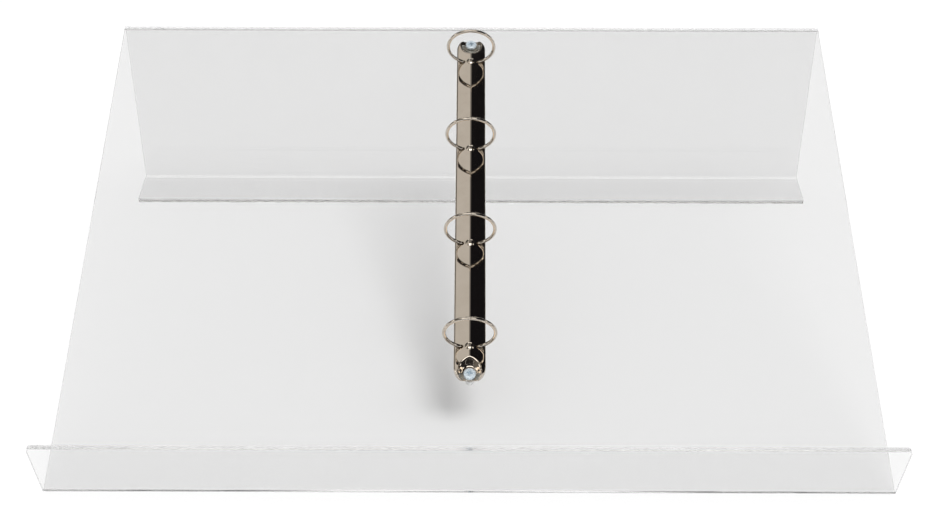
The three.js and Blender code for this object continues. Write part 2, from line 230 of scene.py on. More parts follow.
def nickel_plate(name, grain_mm, rough_low, rough_high, bump_mm):
    material, tree = new_material(name)
    place = node(tree, "ShaderNodeTexCoord").outputs["Object"]
    cloud = node(tree, "ShaderNodeTexNoise", Vector=place, Scale=per_metre(CLOUD_MM), Detail=3.0)
    tone = node(tree, "ShaderNodeValToRGB", i0=cloud.outputs["Fac"])
    tone.color_ramp.elements[0].color = linear("#C9BEB0")
    tone.color_ramp.elements[1].color = linear("#D6CCC0")
    grain = node(tree, "ShaderNodeTexNoise", Vector=place, Scale=per_metre(grain_mm), Detail=2.0)
    rough = node(tree, "ShaderNodeMapRange", Value=grain.outputs["Fac"], To_Min=rough_low, To_Max=rough_high)
    bump = node(tree, "ShaderNodeBump", Height=grain.outputs["Fac"], Distance=bump_mm * MM, Strength=1.0)
    metal = node(tree, "ShaderNodeBsdfPrincipled", Base_Color=tone.outputs[0], Metallic=1.0,
                 Roughness=rough.outputs[0], Normal=bump.outputs[0])
    node(tree, "ShaderNodeOutputMaterial", Surface=metal.outputs[0])
    return material


# %% [markdown]
# ## Zinc plate
#
# The screws are zinc plated and dipped in a blue passivate, and the nuts in a clear one. The eye sees a
# slightly milky metal with a patchy sheen, cool on the screws and neutral on the nuts, because the passivate
# film is never even. The film scatters part of the light, so the finish sits between a metal and a paint.
# The carrier plates have the cover's nickel, a little duller.

# %% Passivated zinc plate
ZINC_GRAIN_MM = 0.25


def zinc_plate(name, patch_mm, deep="#C4D6E3", pale="#E8EFF3"):
    material, tree = new_material(name)
    place = node(tree, "ShaderNodeTexCoord").outputs["Object"]
    patches = node(tree, "ShaderNodeTexNoise", Vector=place, Scale=per_metre(patch_mm), Detail=4.0)
    tone = node(tree, "ShaderNodeValToRGB", i0=patches.outputs["Fac"])
    tone.color_ramp.elements[0].position = 0.1
    tone.color_ramp.elements[0].color = linear(deep)
    tone.color_ramp.elements[1].position = 0.95
    tone.color_ramp.elements[1].color = linear(pale)
    rough = node(tree, "ShaderNodeMapRange", Value=patches.outputs["Fac"], To_Min=0.18, To_Max=0.36)
    grain = node(tree, "ShaderNodeTexNoise", Vector=place, Scale=per_metre(ZINC_GRAIN_MM), Detail=2.0)
    bump = node(tree, "ShaderNodeBump", Height=grain.outputs["Fac"], Distance=0.004 * MM, Strength=1.0)
    metal = node(tree, "ShaderNodeBsdfPrincipled", Base_Color=tone.outputs[0], Metallic=0.35,
                 Roughness=rough.outputs[0], Normal=bump.outputs[0])
    node(tree, "ShaderNodeOutputMaterial", Surface=metal.outputs[0])
    return material


ACRYLIC = cast_acrylic("cast_acrylic", "#F2F2F2", "#FAFAFA")
# painted light: the foot's acrylic is a lighter copy, clear tint and clear window, for light the table
# returns
PAINTED_LIGHTER_FOOT_ACRYLIC = cast_acrylic("cast_acrylic_painted_lighter_on_the_table", "#FFFFFF", "#FFFFFF")
EDGE = polished_edge()
COVER_NICKEL = nickel_plate("bright_nickel_on_pressed_steel", 2.5, 0.03, 0.07, 0.0012)
WIRE_NICKEL = nickel_plate("bright_nickel_on_drawn_wire", 0.8, 0.02, 0.06, 0.0006)
SCREW_ZINC = zinc_plate("blue_zinc_on_screw", 1.2)
NUT_ZINC = zinc_plate("clear_zinc_on_nut", 1.2, "#D6D7D6", "#F0F0EE")
PLATE_NICKEL = nickel_plate("nickel_on_carrier_plate", 5.0, 0.14, 0.24, 0.0012)
print("materials:", [m.name for m in bpy.data.materials if not m.name.startswith("Material")])

# %% [markdown]
# ## Helpers for meshes
#
# `make_piece` turns lists of points and faces into an object at the world's origin, with its place in its
# mesh, just as the frame's own nodes have. `settle` applies the modifiers we have finished with. `cut` takes
# one closed mesh out of another, which is how holes and slots are made here, or joins two into one.

# %% Mesh helpers
SHARP = math.radians(35)        # a crease steeper than this stays crisp
HOLE_SIDES = 48


def make_piece(name, points, faces, to_world, materials):
    mesh = bpy.data.meshes.new(name)
    mesh.from_pydata([to_world @ Vector(p) for p in points], [], faces)
    for material in materials:
        mesh.materials.append(material)
    work = bmesh.new()
    work.from_mesh(mesh)
    bmesh.ops.remove_doubles(work, verts=work.verts, dist=1e-6)
    bmesh.ops.recalc_face_normals(work, faces=work.faces)
    work.to_mesh(mesh)
    work.free()
    piece = bpy.data.objects.new(name, mesh)
    bpy.context.scene.collection.objects.link(piece)
    shade_smooth(piece)
    return piece


def shade_smooth(piece):
    piece.data.polygons.foreach_set("use_smooth", [True] * len(piece.data.polygons))


def settle(piece):
    seen = piece.evaluated_get(bpy.context.evaluated_depsgraph_get())
    piece.data = bpy.data.meshes.new_from_object(seen)
    piece.modifiers.clear()
    return piece


def cut(piece, cutters, operation="DIFFERENCE"):
    for cutter in cutters:
        tool = piece.modifiers.new("cut", "BOOLEAN")
        tool.operation, tool.solver, tool.object = operation, "EXACT", cutter
    settle(piece)
    for cutter in cutters:
        bpy.data.objects.remove(cutter)
    return piece


def round_edges(piece, width_mm, segments=3, limit=50):
    bevel = piece.modifiers.new("rounded_edges", "BEVEL")
    bevel.width, bevel.segments = width_mm * MM, segments
    bevel.limit_method, bevel.angle_limit = "ANGLE", math.radians(limit)
    bevel.harden_normals = False
    weights = piece.modifiers.new("flat_faces_stay_flat", "WEIGHTED_NORMAL")
    weights.keep_sharp = True
    return piece


def grid_faces(rows, columns, closed=False):
    wrap = columns if closed else columns - 1
    faces = []
    for r in range(rows - 1):
        for c in range(wrap):
            here, beside = r * columns + c, r * columns + (c + 1) % columns
            faces.append((here, beside, beside + columns, here + columns))
    return faces


def turned_points(profile, segments):
    return [(r * math.cos(a), r * math.sin(a), z) for r, z in profile
            for a in (2 * math.pi * k / segments for k in range(segments))]


def turned(name, profile, segments, to_world, materials):
    rings = len(profile)
    faces = grid_faces(rings, segments, closed=True)
    faces += [tuple(range(segments)), tuple(range((rings - 1) * segments, rings * segments))]
    return make_piece(name, turned_points(profile, segments), faces, to_world, materials)


def block(name, low, high, to_world):
    points = [(x, y, z) for x in (low[0], high[0]) for y in (low[1], high[1]) for z in (low[2], high[2])]
    faces = [(0, 1, 3, 2), (4, 6, 7, 5), (0, 4, 5, 1), (2, 3, 7, 6), (0, 2, 6, 4), (1, 5, 7, 3)]
    return make_piece(name, points, faces, to_world, [])


# %% [markdown]
# ## The bent sheet
#
# The maker cuts one flat blank, rounds the two corners of the lip, drills two screw holes, and then heats
# and folds it along three lines. We do the same. A path runs along the middle of the sheet, seen from the
# side, with each corner replaced by an arc. Every point of the path gets a row of four vertices: left and
# right edge, upper and lower skin. Near the end of the lip the rows get shorter, which rounds its corners.
# Modelling the solid sheet, instead of a single surface, matters: refraction happens at both skins.

# %% The bent sheet
SHEET = 3.0
FOLD_RADIUS = 3.0
FOLD_STEPS = 16
PANEL_LENGTH = 378.5
LIP_LENGTH = 51.0
LEG_LEAN = 8.48
FOOT_LENGTH = 36.0
LIP_CORNER = 3.0
FOOT_CORNER = 1.0
CORNER_STEPS = 8
SCREW_Y = 138.5
SHANK_HOLE = 2.25
DRILL_TURN = 0.03

slope_y, slope_z = math.cos(slope), math.sin(slope)
half_width = (CAD_BOX[1].x - CAD_BOX[0].x) / 2 / MM


def sheet_corners():
    lowest_y = CAD_BOX[0].y / MM + SHEET / 2 * slope_y
    start = Vector((lowest_y + LIP_LENGTH * slope_z, 0))
    fold_drop = FOLD_RADIUS * (slope_z + slope_y - 1)
    start.y = SHEET / 2 - fold_drop
    lip_tip = start + LIP_LENGTH * Vector((-slope_z, slope_y))
    top = start + PANEL_LENGTH * Vector((slope_y, slope_z))
    heel = Vector((top.x + LEG_LEAN, SHEET / 2))
    return [lip_tip, start, top, heel, heel - Vector((FOOT_LENGTH, 0))]


def rows_of_tip(corner, along, radius, reverse):
    """Distances from a free end, and how much each row is shortened there, so that the corner is round."""
    turns = [math.pi / 2 * k / CORNER_STEPS for k in range(CORNER_STEPS + 1)]
    rows = [(corner + along * radius * (1 - math.cos(a)), radius * (1 - math.sin(a))) for a in turns]
    return rows[::-1] if reverse else rows


def sheet_rows():
    corners = sheet_corners()
    ways = [(b - a).normalized() for a, b in zip(corners, corners[1:])]
    rows = [(p, ways[0], inset) for p, inset in rows_of_tip(corners[0], ways[0], LIP_CORNER, False)]
    for i in range(1, len(corners) - 1):
        before, after = ways[i - 1], ways[i]
        turn = math.atan2(before.cross(after), before.dot(after))
        start = corners[i] - before * FOLD_RADIUS * math.tan(abs(turn) / 2)
        side = math.copysign(1, turn)
        centre = start + Vector((-before.y, before.x)) * side * FOLD_RADIUS
        for k in range(FOLD_STEPS + 1):
            spin = Matrix.Rotation(turn * k / FOLD_STEPS, 2)
            rows.append((centre + spin @ (start - centre), spin @ before, 0.0))
    rows += [(p, ways[-1], inset) for p, inset in rows_of_tip(corners[-1], -ways[-1], FOOT_CORNER, True)]
    return rows


def drill(end, low, high):
    """A drill at one screw, turned a little so that its corners miss the grid of the piece it cuts."""
    place = Matrix.Translation((0, end * SCREW_Y, 0)) @ Matrix.Rotation(DRILL_TURN, 4, "Z")
    return turned("drill", [(SHANK_HOLE, low), (SHANK_HOLE, high)], HOLE_SIDES, TO_PANEL @ place, [])


def bent_sheet():
    rows = sheet_rows()
    points = []
    for place, way, inset in rows:
        normal = Vector((-way.y, way.x)) * SHEET / 2
        for skin in (place + normal, place - normal):
            points += [(side * (half_width - inset), skin.x, skin.y) for side in (-1, 1)]
    faces = []
    for r in range(len(rows) - 1):
        a, b = 4 * r, 4 * r + 4
        faces += [(a, a + 1, b + 1, b), (a + 2, b + 2, b + 3, a + 3)]
        faces += [(a, b, b + 2, a + 2), (a + 1, a + 3, b + 3, b + 1)]
    last = 4 * (len(rows) - 1)
    faces += [(0, 2, 3, 1), (last, last + 1, last + 3, last + 2)]
    sheet = make_piece("clear_sheet", points, faces, TO_TABLE, [ACRYLIC, EDGE, PAINTED_LIGHTER_FOOT_ACRYLIC])
    rims = [i % 4 > 1 for i in range(last)] + [True, True]
    for face, rim in zip(sheet.data.polygons, rims):
        # faces lying on the table get the lighter acrylic, which paints in light returned by the table
        painted_lighter_on_table = face.center.z < (SHEET + 0.1) * MM and face.center.y > 0
        face.material_index = 1 if rim else 2 if painted_lighter_on_table else 0
    cut(sheet, [drill(end, -SHEET - 1, 1) for end in (-1, 1)])
    return sheet


sheet = bent_sheet()
round_edges(sheet, 0.35)
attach(sheet, "stand")
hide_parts("acrylic_stand")
print("sheet:", len(sheet.data.polygons), "faces, width", round(2 * half_width), "mm")

# %% [markdown]
# ## The spine cover
#
# The cover is pressed from steel strip. Across, it has upright skirts, two flat flanks and a narrow round
# ridge. At each end the flanks drop to a tapered nose, and a bowl is sunk into the nose for the screw. Beside
# each ring a small dome is pressed up. All of it can be said as one height for each place on the strip, so we
# make a fine grid, ask a formula for each point's place, and let Solidify give the steel its thickness. Two
# surfaces meet in a smooth minimum or maximum, which gives the soft radius that a press tool leaves.

# %% The shape of the cover
COVER_LENGTH = 285.0
COVER_WIDTH = 20.0
COVER_STEEL = 0.8
COVER_GAP = 0.3
SHOULDER = 3.6
PEAK = 6.0
SHOULDER_ROUND = 1.3
RIDGE_ROUND = 0.45
NOSE = 9.5
NOSE_TIP = 10.4
NOSE_LOW = 2.4
NOSE_SLOPE = 10.5
BOWL_OFFSET = 2.5
BOWL_RIM = 8.2
BOWL_FLOOR = 4.0
BOWL_MOUTH = 9.2
BOSS_RADIUS = 2.9
BOSS_TOP = 6.8
BOSS_RISE = 1.9
BOWL_STEEL = 0.9           # how far the bowl's floor stands off the sheet, over the gap
NOSE_BLEND, BOWL_BLEND, BOWL_EDGE, BOSS_BLEND = 0.9, 0.8, 0.9, 0.2
BOWL_REACH = 25            # a bowl shapes the cover no further from its end than this
RING_PITCH = 80.0
RING_COUNT = 4
RING_PLACES = [RING_PITCH * ((RING_COUNT - 1) / 2 - i) for i in range(RING_COUNT)]

cover_end = COVER_LENGTH / 2
floor_top = COVER_GAP + BOWL_STEEL
rise = (PEAK - SHOULDER) / (COVER_WIDTH / 2)


def smooth_min(a, b, k):
    share = max(k - abs(a - b), 0) / k
    return min(a, b) - share * share * k / 4


def smooth_max(a, b, k):
    return -smooth_min(-a, -b, k)


def bezier(a, b, c, steps):
    shares = [k / steps for k in range(1, steps + 1)]
    bend = lambda t, p, q, r: (1 - t) ** 2 * p + 2 * t * (1 - t) * q + t * t * r
    return [tuple(bend(t, p, q, r) for p, q, r in zip(a, b, c)) for t in shares]


def between(a, b, steps):
    shares = [k / steps for k in range(1, steps + 1)]
    return [tuple(p + (q - p) * t for p, q in zip(a, b)) for t in shares]


def section():
    """Half of the cover's outline, from the foot of the skirt to the ridge, then mirrored."""
    side = COVER_WIDTH / 2
    foot = (side, COVER_GAP)
    under = (side, SHOULDER - SHOULDER_ROUND)
    over = (side - SHOULDER_ROUND, SHOULDER + rise * SHOULDER_ROUND)
    near = (RIDGE_ROUND, PEAK - rise * RIDGE_ROUND)
    half = [foot] + between(foot, under, 5) + bezier(under, (side, SHOULDER), over, 8)
    half += between(over, near, 22)
    ridge = bezier(near, (0, PEAK), (-near[0], near[1]), 8)
    mirrored = [(-x, z) for x, z in half[:-1]]
    return half + ridge + mirrored[::-1]


def taper(y, start, full, end):
    """Falls from full to end along a quadratic curve, between a start and the tip of the cover."""
    bulge = cover_end - NOSE / 3
    a, b, c = start - 2 * bulge + cover_end, 2 * (bulge - start), start - abs(y)
    t = (-b + math.sqrt(b * b - 4 * a * c)) / (2 * a)
    return (1 - t) ** 2 * full + 2 * t * (1 - t) * full + t * t * end


def half_width_at(y):
    start = cover_end - NOSE
    return COVER_WIDTH / 2 if abs(y) <= start else taper(y, start, COVER_WIDTH / 2, NOSE_TIP / 2)


def nose_height(y):
    start = cover_end - NOSE_SLOPE
    return PEAK + 2 if abs(y) <= start else taper(y, start, PEAK, NOSE_LOW)


def bowl_height(x, y):
    middle = SCREW_Y - BOWL_OFFSET
    past = abs(y) - middle
    out = math.hypot(x, past) - BOWL_FLOOR
    if past > 0:
        out = min(out, abs(x) - BOWL_MOUTH / 2)
    steep = (PEAK - floor_top) / (BOWL_RIM - BOWL_FLOOR)
    return floor_top + smooth_max(0, steep * out, BOWL_EDGE)


def cover_height(x, y, height):
    height = smooth_min(height, nose_height(y), NOSE_BLEND)
    if abs(y) > cover_end - BOWL_REACH:
        height = smooth_min(height, bowl_height(x, y), BOWL_BLEND)
    for ring in RING_PLACES:
        away = math.hypot(x, y - ring)
        if away < BOSS_RADIUS:
            dome = BOSS_TOP - BOSS_RISE + BOSS_RISE * math.sqrt(1 - (away / BOSS_RADIUS) ** 2)
            height = smooth_max(height, dome, BOSS_BLEND)
    return height


# %% Press the cover
COARSE, FINE, FINEST = 2.5, 0.3, 0.25
NOSE_REACH, DOME_REACH = 20, 4
SLOT_LOW, SLOT_HIGH = 2.6, 9.0
SLOT_INNER, SLOT_OUTER, SLOT_WIDTH = 3.9, 8.4, 3.0
SLOT_STEPS = 13            # an odd number keeps the cutter's corners off the grid's own lines
FLANGE_WIDTH, FLANGE_HEIGHT, FLANGE_LENGTH = 1.0, 0.7, 250.0


def stations():
    """Places along the cover: close together at the noses and the domes, far apart between them."""
    y, found = -cover_end, [-cover_end]
    while y < cover_end - 1e-6:
        nose = max(abs(y), abs(y + COARSE)) > cover_end - NOSE_REACH
        dome = any(abs(y - ring) < DOME_REACH or 0 < ring - y < COARSE + DOME_REACH for ring in RING_PLACES)
        y = min(y + (FINEST if nose else FINE if dome else COARSE), cover_end)
        found.append(y)
    return found


def slot_cutter(side, y):
    """A slot with round ends, as a closed prism through the cover."""
    half = SLOT_WIDTH / 2
    outline = []
    for x, start in ((SLOT_OUTER - half, -90), (SLOT_INNER + half, 90)):
        angles = [math.radians(start + 180 * k / SLOT_STEPS) for k in range(SLOT_STEPS + 1)]
        outline += [(side * (x + half * math.cos(a)), y + half * math.sin(a)) for a in angles]
    count = len(outline)
    points = [(x, v, z) for z in (SLOT_LOW, SLOT_HIGH) for x, v in outline]
    faces = grid_faces(2, count, closed=True) + [tuple(range(count)), tuple(range(count, 2 * count))]
    return make_piece("slot", points, faces, TO_PANEL, [])


def rolled_flange(side):
    """The foot of the skirt turned inward. The two flanges keep the carrier plates in."""
    inner = COVER_WIDTH / 2 - COVER_STEEL - FLANGE_WIDTH
    near, far = sorted((side * inner, side * (COVER_WIDTH / 2 - COVER_STEEL / 2)))
    low, high = COVER_GAP + 0.02, COVER_GAP + FLANGE_HEIGHT
    return block("flange", (near, -FLANGE_LENGTH / 2, low), (far, FLANGE_LENGTH / 2, high), TO_PANEL)


def spine_cover():
    across, along = section(), stations()
    points = []
    for y in along:
        narrow = half_width_at(y) / (COVER_WIDTH / 2)
        for x, z in across:
            low = z < SHOULDER - SHOULDER_ROUND - 0.1
            points.append((x * narrow, y, z if low and z < 1.0 else cover_height(x * narrow, y, z)))
    faces = grid_faces(len(along), len(across))
    cover = make_piece("pressed_cover", points, faces, TO_PANEL, [COVER_NICKEL])
    steel = cover.modifiers.new("steel", "SOLIDIFY")
    steel.thickness, steel.offset = COVER_STEEL * MM, -1
    settle(cover)
    cut(cover, [rolled_flange(side) for side in (-1, 1)], "UNION")
    holes = [drill(end, -1, 5) for end in (-1, 1)]
    cut(cover, holes + [slot_cutter(side, y) for side in (-1, 1) for y in RING_PLACES])
    shade_smooth(cover)
    cover.data.set_sharp_from_angle(angle=SHARP)
    return cover


cover = spine_cover()
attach(cover, "stand")
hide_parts("spine_cover")
print("cover:", len(cover.data.polygons), "faces")

# %% [markdown]
# ## The rings
#
# Each ring is two halves of nickel-plated wire. A half comes round from the stepped joint at the top, slips
# through a slot in the cover, and turns down to be riveted into its carrier plate. The way to make bent wire
# is to sweep a circle along the line that the wire's middle follows. Here the line lies in one plane, so each
# circle is spanned by that plane's normal and the line's own normal, with no twist to worry about.

# %% The rings
RING_HEIGHT = 20.0
RING_RADIUS = 15.91      # a hair under 16, so that the smooth wire stays inside the model's facets
WIRE = 1.1
LAP, LAP_GAP = 0.8, 0.3
ARC_END = math.radians(243.3)
ARC_STEPS, TAIL_STEPS, WIRE_SIDES = 72, 14, 24
CLOSED_TILT = math.radians(9)
RIVET = 3.2
PLATE = 0.9
RIVET_HEAD = 1.6         # formed under the plate, so a little wider than the model's plain wire end
RIVET_TAIL = ((0.55, WIRE), (-0.45, WIRE), (-0.46, RIVET_HEAD), (-0.7, RIVET_HEAD), (-0.85, 1.1))
RIVET_PLAY = 0.15


def wire_line():
    """The left half's middle line in (x, z), and the wire's radius along it."""
    centre = Vector((0, RING_HEIGHT))
    start = math.pi / 2 - (LAP - LAP_GAP / 2) / RING_RADIUS
    angles = [start + (ARC_END - start) * k / ARC_STEPS for k in range(ARC_STEPS + 1)]
    line = [centre + RING_RADIUS * Vector((math.cos(a), math.sin(a))) for a in angles]
    plate_up = Vector((math.sin(CLOSED_TILT), math.cos(CLOSED_TILT)))
    plate_in = Vector((math.cos(CLOSED_TILT), -math.sin(CLOSED_TILT)))
    rivet = Vector((-HINGE_X, HINGE_Z)) + plate_in * RIVET
    heading = Vector((-math.sin(ARC_END), math.cos(ARC_END)))
    knee = rivet + plate_up * ((line[-1] - rivet).cross(heading) / plate_up.cross(heading))
    line += [Vector(p) for p in bezier(line[-1], knee, rivet + plate_up * PLATE, TAIL_STEPS)]
    radii = [WIRE] * len(line)
    for up, radius in RIVET_TAIL:
        line.append(rivet + plate_up * up)
        radii.append(radius)
    return line, radii


def half_ring(name, side, y):
    line, radii = wire_line()
    points = []
    for i, (place, radius) in enumerate(zip(line, radii)):
        way = (line[min(i + 1, len(line) - 1)] - line[max(i - 1, 0)]).normalized()
        across = Vector((-way.y, way.x))
        for k in range(WIRE_SIDES):
            a = 2 * math.pi * k / WIRE_SIDES
            x, z = place + across * radius * math.cos(a)
            points.append((-side * x, y + radius * math.sin(a), z))
    faces = grid_faces(len(line), WIRE_SIDES, closed=True)
    faces += [tuple(range(WIRE_SIDES)), tuple(range(len(points) - WIRE_SIDES, len(points)))]
    wire = make_piece(name, points, faces, TO_PANEL, [WIRE_NICKEL])
    tip, reach = RING_HEIGHT + RING_RADIUS, 2.5 * WIRE
    low, high = (tip - reach, tip + LAP_GAP / 2) if side < 0 else (tip - LAP_GAP / 2, tip + reach)
    near, far = sorted((side * LAP, -side * reach))
    cut(wire, [block("lap", (near, y - reach, low), (far, y + reach, high), TO_PANEL)])
    shade_smooth(wire)
    return round_edges(wire, 0.12, segments=2, limit=40)


for side, word in ((-1, "left"), (1, "right")):
    for number, y in enumerate(RING_PLACES, 1):
        ring = half_ring(f"{word}_wire_{number}", side, y)
        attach(ring, f"{word}_rings")
        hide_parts(f"{word}_half_ring_{number}")
print("half rings:", 2 * RING_COUNT, "with", len(ring.data.polygons), "faces each")

# %% [markdown]
# ## The carrier plates
#
# Under the cover lie two long plates, one for each row of half rings. Each one pivots on its outer edge. When
# the rings are shut the pair makes a shallow V, and when they are open a shallow roof, and the springy cover
# snaps them from one to the other. They are hidden from above, but the clear sheet shows them from below.

# %% The carrier plates
PLATE_WIDTH = 8.2
PLATE_LENGTH = 254.0


def carrier_plate(name, side):
    to_hinge = Matrix.Translation((side * HINGE_X, 0, HINGE_Z))
    to_world = TO_PANEL @ to_hinge @ Matrix.Rotation(-side * CLOSED_TILT, 4, "Y")
    low, high = sorted((0, -side * PLATE_WIDTH))
    plate = block(name, (low, -PLATE_LENGTH / 2, -PLATE / 2), (high, PLATE_LENGTH / 2, PLATE / 2), to_world)
    plate.data.materials.append(PLATE_NICKEL)
    hole = [(WIRE + RIVET_PLAY, -1), (WIRE + RIVET_PLAY, 1)]
    places = [to_world @ Matrix.Translation((-side * RIVET, y, 0)) for y in RING_PLACES]
    cut(plate, [turned("rivet_hole", hole, WIRE_SIDES, place, []) for place in places])
    return round_edges(plate, 0.15)


for side, word in ((-1, "left"), (1, "right")):
    plate = carrier_plate(f"{word}_carrier_plate", side)
    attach(plate, f"{word}_rings")
    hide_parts(f"{word}_blade")
print("carrier plates:", PLATE_LENGTH, "by", PLATE_WIDTH, "mm")

# %% [markdown]
# ## Screws and nuts
#
# A pan-head machine screw goes through each end of the cover and through the sheet into a round cap nut. The
# head is a turned profile. Its thread is one long helical ridge, and a plain grid can hold it: the radius
# only has to rise and fall with the height plus a share of the turn. The driver recess is two tapered slots
# in a cross, with four fine ticks between them, cut out of the head.

# %% Screws
HEAD_RADIUS, HEAD_HEIGHT, HEAD_ROUND, HEAD_CHAMFER = 3.85, 2.4, 1.2, 0.15
SHANK, THREAD_DEPTH, THREAD_PITCH = 1.95, 0.25, 0.7
SCREW_END = -7.0
RECESS_HALF, RECESS_WIDE, RECESS_DEEP = 2.1, 0.55, 1.7
under_head = floor_top + COVER_GAP


def recess(to_world, turn, half_long, half_wide, deep):
    """A slot for the driver, narrower at the bottom than at the top."""
    top = under_head + HEAD_HEIGHT
    points = []
    for z, share in ((top - deep, 0.55), (top + 0.5, 1.1)):
        long, wide = half_long * share, half_wide * share
        points += [(-long, -wide, z), (long, -wide, z), (long, wide, z), (-long, wide, z)]
    faces = grid_faces(2, 4, closed=True) + [(0, 1, 2, 3), (4, 5, 6, 7)]
    return make_piece("recess", points, faces, to_world @ Matrix.Rotation(turn, 4, "Z"), [])


def pan_head(name, to_world):
    top = under_head + HEAD_HEIGHT
    arc = [math.pi / 2 * k / 10 for k in range(11)]
    profile = [(SHANK, under_head - 0.4), (SHANK, under_head), (HEAD_RADIUS - HEAD_CHAMFER, under_head)]
    profile += [(HEAD_RADIUS, under_head + HEAD_CHAMFER)]
    reach, drop = HEAD_ROUND * 1.3, HEAD_ROUND - HEAD_CHAMFER
    inner = HEAD_RADIUS - reach
    profile += [(inner + reach * math.cos(a), top - HEAD_ROUND + drop * math.sin(a)) for a in arc]
    profile += [(inner * share, top - HEAD_CHAMFER * share * share) for share in (0.75, 0.5, 0.25, 0.05)]
    head = turned(name, profile, 64, to_world, [SCREW_ZINC])
    cross = [recess(to_world, turn, RECESS_HALF, RECESS_WIDE, RECESS_DEEP) for turn in (0, math.pi / 2)]
    ticks = [recess(to_world, turn, RECESS_HALF * 0.85, 0.12, 0.35) for turn in (math.pi / 4, -math.pi / 4)]
    cut(head, cross + ticks)
    shade_smooth(head)
    head.data.set_sharp_from_angle(angle=SHARP)
    return head


def threaded_shank(name, to_world):
    around, low, high = 24, SCREW_END, under_head - 0.35
    levels = int((high - low) / (THREAD_PITCH / 8))
    points = []
    for level in range(levels + 1):
        z = low + (high - low) * level / levels
        for k in range(around):
            wave = abs(((z / THREAD_PITCH + k / around) % 1) * 2 - 1)
            lead_in = min(1, (z - low) / THREAD_PITCH + 0.2)
            radius = (SHANK - THREAD_DEPTH * wave) * (0.8 + 0.2 * lead_in)
            a = 2 * math.pi * k / around
            points.append((radius * math.cos(a), radius * math.sin(a), z))
    faces = grid_faces(levels + 1, around, closed=True)
    faces += [tuple(range(around)), tuple(range(levels * around, (levels + 1) * around))]
    return make_piece(name, points, faces, to_world, [SCREW_ZINC])


for end, word in ((1, "top"), (-1, "bottom")):
    tightened = Matrix.Rotation(math.radians(12 * end), 4, "Z")
    to_world = TO_PANEL @ Matrix.Translation((0, end * SCREW_Y, 0)) @ tightened
    head = pan_head(f"{word}_screw_head", to_world)
    shank = threaded_shank(f"{word}_screw_thread", to_world)
    for piece in (head, shank):
        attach(piece, "stand")
    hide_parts(f"{word}_screw")
print("screw heads:", 2 * HEAD_RADIUS, "mm wide")

# %% Cap nuts
NUT_RADIUS, NUT_FLANGE_RADIUS, NUT_FLANGE, NUT_LENGTH = 2.8, 3.2, 0.8, 5.0
NUT_CHAMFER, NUT_DOME, CENTRE = 0.1, 1.2, 0.05


def cap_nut(name, to_world):
    top = -SHEET - COVER_GAP
    end = top - NUT_LENGTH
    dome = [math.pi / 2 * k / 8 for k in range(9)]
    profile = [(CENTRE, end)]
    profile += [(NUT_RADIUS * (0.45 + 0.55 * math.sin(a)), end + NUT_DOME * (1 - math.cos(a))) for a in dome]
    profile += [(NUT_RADIUS, top - NUT_FLANGE), (NUT_FLANGE_RADIUS - NUT_CHAMFER, top - NUT_FLANGE),
                (NUT_FLANGE_RADIUS, top - NUT_FLANGE + NUT_CHAMFER), (NUT_FLANGE_RADIUS, top - NUT_CHAMFER),
                (NUT_FLANGE_RADIUS - NUT_CHAMFER, top), (SHANK_HOLE, top)]
    profile += [(SHANK_HOLE, SCREW_END - COVER_GAP), (CENTRE, SCREW_END - COVER_GAP)]
    nut = turned(name, profile, HOLE_SIDES, to_world, [NUT_ZINC])
    nut.data.set_sharp_from_angle(angle=SHARP)
    return nut


for end, word in ((1, "top"), (-1, "bottom")):
    nut = cap_nut(f"{word}_round_nut", TO_PANEL @ Matrix.Translation((0, end * SCREW_Y, 0)))
    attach(nut, "stand")
    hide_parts(f"{word}_cap_nut")
print("cap nuts:", 2 * NUT_RADIUS, "mm wide")

# %% [markdown]
# ## The table and the studio
#
# The stand is shown on a white table. Polished metal is a picture of what surrounds it, so the studio matters
# more than the lamps: above to the left the ceiling is pale, above to the right it is dark, lower down the
# walls are dark, and four banks of light give the metal its highlights. The sky of the scene is
# painted that way by direction. Only mirrored rays see it. Everything else sees a plain pale backdrop, and
# one wide lamp gives the soft shadow.

# %% Table
REACH, DROP = 9000, -0.2     # the table lies a hair under the foot, so that the two faces don't coincide
corners = [(-REACH, -REACH, DROP), (REACH, -REACH, DROP), (REACH, REACH, DROP), (-REACH, REACH, DROP)]
floor = make_piece("table", corners, [(0, 1, 2, 3)], TO_TABLE, [])
table_paint, tree = new_material("white_laminate")
place = node(tree, "ShaderNodeTexCoord").outputs["Object"]
speckle = node(tree, "ShaderNodeTexNoise", Vector=place, Scale=per_metre(1.5), Detail=3.0)
tone = node(tree, "ShaderNodeValToRGB", i0=speckle.outputs["Fac"])
tone.color_ramp.elements[0].color = linear("#F6F6F6")
tone.color_ramp.elements[1].color = linear("#FAFAFA")
laminate = node(tree, "ShaderNodeBsdfPrincipled", Base_Color=tone.outputs[0], Roughness=0.6,
                Specular_IOR_Level=0.1)
node(tree, "ShaderNodeOutputMaterial", Surface=laminate.outputs[0])
floor.data.materials.append(table_paint)

# %% Studio sky
AROUND = 0.75            # the share of the backdrop's light that falls on matt surfaces
KEY, KEY_SPREAD, KEY_FROM = 1.4, 34, (0.40, -0.08, 1.0)
BANK = 2.8               # how bright a bank of light looks in the metal
BACKDROP = "#FBFBFB"

world = bpy.data.worlds.new("studio")
bpy.context.scene.world = world
world.use_nodes = True
tree = world.node_tree
tree.nodes.clear()
way = node(tree, "ShaderNodeSeparateXYZ", i0=node(tree, "ShaderNodeTexCoord").outputs["Generated"])


def blend_by(tree, value, low, high, first, second):
    """A soft change from one colour to another as a value goes from low to high."""
    share = node(tree, "ShaderNodeMapRange", {"interpolation_type": "SMOOTHSTEP"}, Value=value,
                 From_Min=low, From_Max=high)
    mix = node(tree, "ShaderNodeMix", {"data_type": "RGBA"}, i0=share.outputs[0], i6=first, i7=second)
    return mix.outputs[2]


